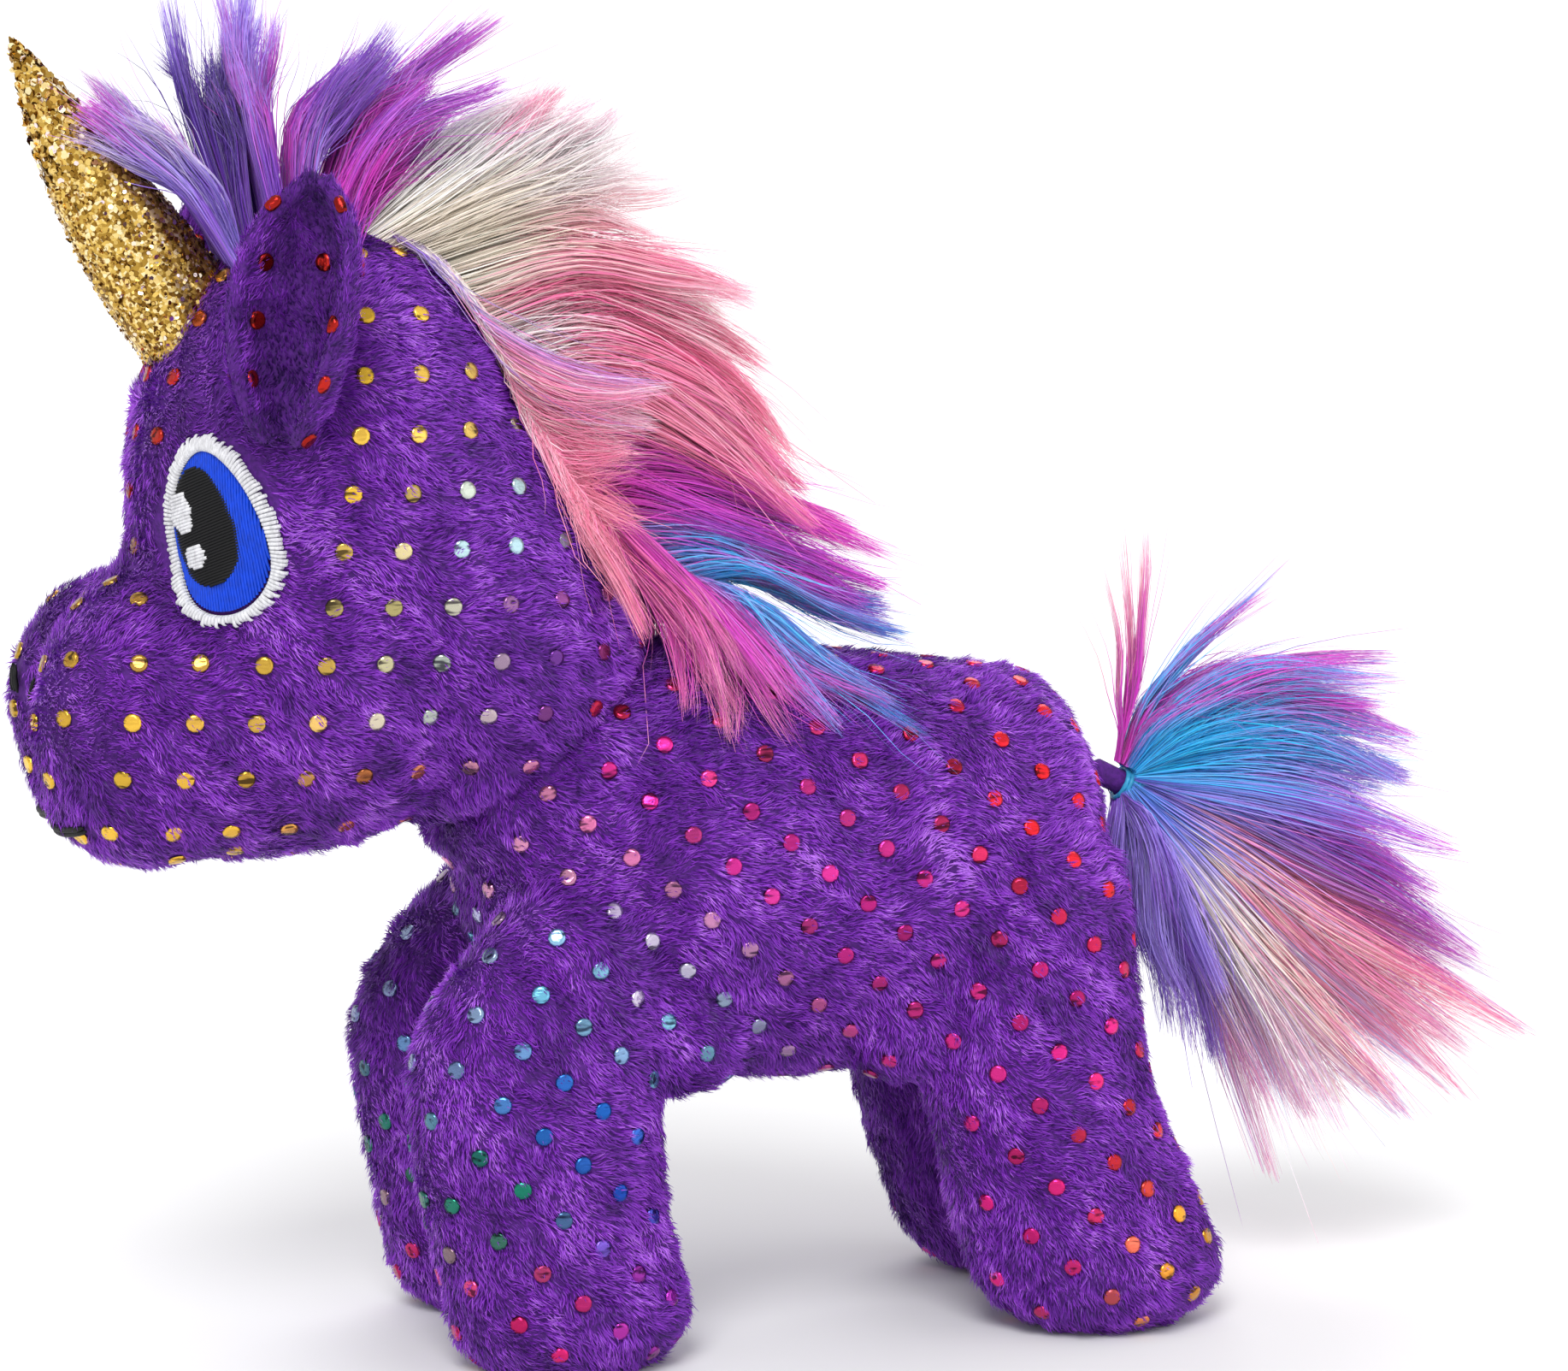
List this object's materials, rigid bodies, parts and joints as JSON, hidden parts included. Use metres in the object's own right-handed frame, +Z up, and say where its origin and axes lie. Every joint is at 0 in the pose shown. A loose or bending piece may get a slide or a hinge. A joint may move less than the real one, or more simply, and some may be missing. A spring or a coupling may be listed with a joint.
{
  "type": "plush unicorn",
  "caption": "Small standing stuffed unicorn with swinging legs, nodding and turning head, folding ears, tilting horn, and fur mane, forelock and tail.",
  "frame": {"origin": "middle of the toy's footprint box, on the surface it stands on", "axes": "+Z up, nose towards -X, the toy's left side towards -Y; symmetric about the XZ plane"},
  "size_m": [0.2072, 0.057, 0.1662],
  "materials": {
    "purple_plush": "short-pile purple plush with foil dots",
    "fibre_fill": "white polyester fibre",
    "gold_glitter": "gold glitter fabric",
    "white_thread": "white satin-stitch thread",
    "blue_thread": "blue satin-stitch thread",
    "black_thread": "black thread",
    "long_fur": "long multicoloured faux fur",
    "turquoise_thread": "turquoise thread"
  },
  "bodies": {
    "torso": {"belly_panel": "purple_plush", "torso_left_panel": "purple_plush", "torso_right_panel": "purple_plush", "torso_fill": "fibre_fill"},
    "neck": {"neck_fill": "fibre_fill"},
    "head": {"head_gusset": "purple_plush", "head_left_panel": "purple_plush", "head_right_panel": "purple_plush", "head_fill": "fibre_fill", "mane_backing_strip": "fibre_fill", "mouth_stitching": "black_thread", "eye_left_white": "white_thread", "eye_left_iris": "blue_thread", "eye_left_pupil": "black_thread", "eye_left_upper_glint": "white_thread", "eye_left_lower_glint": "white_thread", "nostril_left_stitching": "black_thread", "eye_right_white": "white_thread", "eye_right_iris": "blue_thread", "eye_right_pupil": "black_thread", "eye_right_upper_glint": "white_thread", "eye_right_lower_glint": "white_thread", "nostril_right_stitching": "black_thread"},
    "ear_left": {"ear_left_outer": "purple_plush", "ear_left_lining": "purple_plush"},
    "ear_right": {"ear_right_outer": "purple_plush", "ear_right_lining": "purple_plush"},
    "horn": {"horn_cover": "gold_glitter", "horn_fill": "fibre_fill"},
    "forelock": {"forelock_fur": "long_fur"},
    "mane": {"mane_fur": "long_fur"},
    "tail_root": {"tail_core": "fibre_fill", "tail_tie_thread": "turquoise_thread"},
    "tail": {"tail_fur": "long_fur"},
    "front_left_leg": {"front_left_leg_outer_cover": "purple_plush", "front_left_leg_inner_cover": "purple_plush", "front_left_leg_fill": "fibre_fill", "front_left_sole": "purple_plush"},
    "front_right_leg": {"front_right_leg_outer_cover": "purple_plush", "front_right_leg_inner_cover": "purple_plush", "front_right_leg_fill": "fibre_fill", "front_right_sole": "purple_plush"},
    "hind_left_leg": {"hind_left_leg_outer_cover": "purple_plush", "hind_left_leg_inner_cover": "purple_plush", "hind_left_leg_fill": "fibre_fill", "hind_left_sole": "purple_plush"},
    "hind_right_leg": {"hind_right_leg_outer_cover": "purple_plush", "hind_right_leg_inner_cover": "purple_plush", "hind_right_leg_fill": "fibre_fill", "hind_right_sole": "purple_plush"}
  },
  "joints": [
    {"name": "neck_nod", "type": "hinge", "parent": "torso", "child": "neck", "pos_m": [-0.03782, 0, 0.078], "axis": [0, 1, 0], "range_deg": [-10, 10], "stiffness_Nm_per_rad": 0.3},
    {"name": "head_turn", "type": "hinge", "parent": "neck", "child": "head", "pos_m": [-0.03782, 0, 0.078], "axis": [-0.6157, 0, 0.788], "range_deg": [-15, 15], "stiffness_Nm_per_rad": 0.3},
    {"name": "ear_left_fold", "type": "hinge", "parent": "head", "child": "ear_left", "pos_m": [-0.07132, -0.022, 0.126], "axis": [1, 0, 0], "range_deg": [-5, 25], "stiffness_Nm_per_rad": 0.002},
    {"name": "ear_right_fold", "type": "hinge", "parent": "head", "child": "ear_right", "pos_m": [-0.07132, 0.022, 0.126], "axis": [1, 0, 0], "range_deg": [-25, 5], "stiffness_Nm_per_rad": 0.002},
    {"name": "horn_tilt", "type": "hinge", "parent": "head", "child": "horn", "pos_m": [-0.08172, 0, 0.1316], "axis": [0, 1, 0], "range_deg": [-7, 7], "stiffness_Nm_per_rad": 0.01},
    {"name": "forelock_sway", "type": "hinge", "parent": "head", "child": "forelock", "pos_m": [-0.06632, 0, 0.143], "axis": [1, 0, 0], "range_deg": [-18, 18], "stiffness_Nm_per_rad": 0.003},
    {"name": "mane_sway", "type": "hinge", "parent": "head", "child": "mane", "pos_m": [-0.03532, 0, 0.116], "axis": [0.5, 0, -0.866], "range_deg": [-18, 18], "stiffness_Nm_per_rad": 0.01},
    {"name": "tail_lift", "type": "hinge", "parent": "torso", "child": "tail_root", "pos_m": [0.04148, 0, 0.068], "axis": [0, 1, 0], "range_deg": [-40, 15], "stiffness_Nm_per_rad": 0.03},
    {"name": "tail_wag", "type": "hinge", "parent": "tail_root", "child": "tail", "pos_m": [0.04518, 0, 0.0661], "axis": [0, 0, 1], "range_deg": [-35, 35], "stiffness_Nm_per_rad": 0.01},
    {"name": "front_left_leg_swing", "type": "hinge", "parent": "torso", "child": "front_left_leg", "pos_m": [-0.04132, -0.016, 0.04], "axis": [0, 1, 0], "range_deg": [-15, 15], "stiffness_Nm_per_rad": 0.08},
    {"name": "front_right_leg_swing", "type": "hinge", "parent": "torso", "child": "front_right_leg", "pos_m": [-0.04132, 0.016, 0.04], "axis": [0, 1, 0], "range_deg": [-15, 15], "stiffness_Nm_per_rad": 0.08},
    {"name": "hind_left_leg_swing", "type": "hinge", "parent": "torso", "child": "hind_left_leg", "pos_m": [0.02368, -0.016, 0.04], "axis": [0, 1, 0], "range_deg": [-15, 15], "stiffness_Nm_per_rad": 0.08},
    {"name": "hind_right_leg_swing", "type": "hinge", "parent": "torso", "child": "hind_right_leg", "pos_m": [0.02368, 0.016, 0.04], "axis": [0, 1, 0], "range_deg": [-15, 15], "stiffness_Nm_per_rad": 0.08}
  ]
}
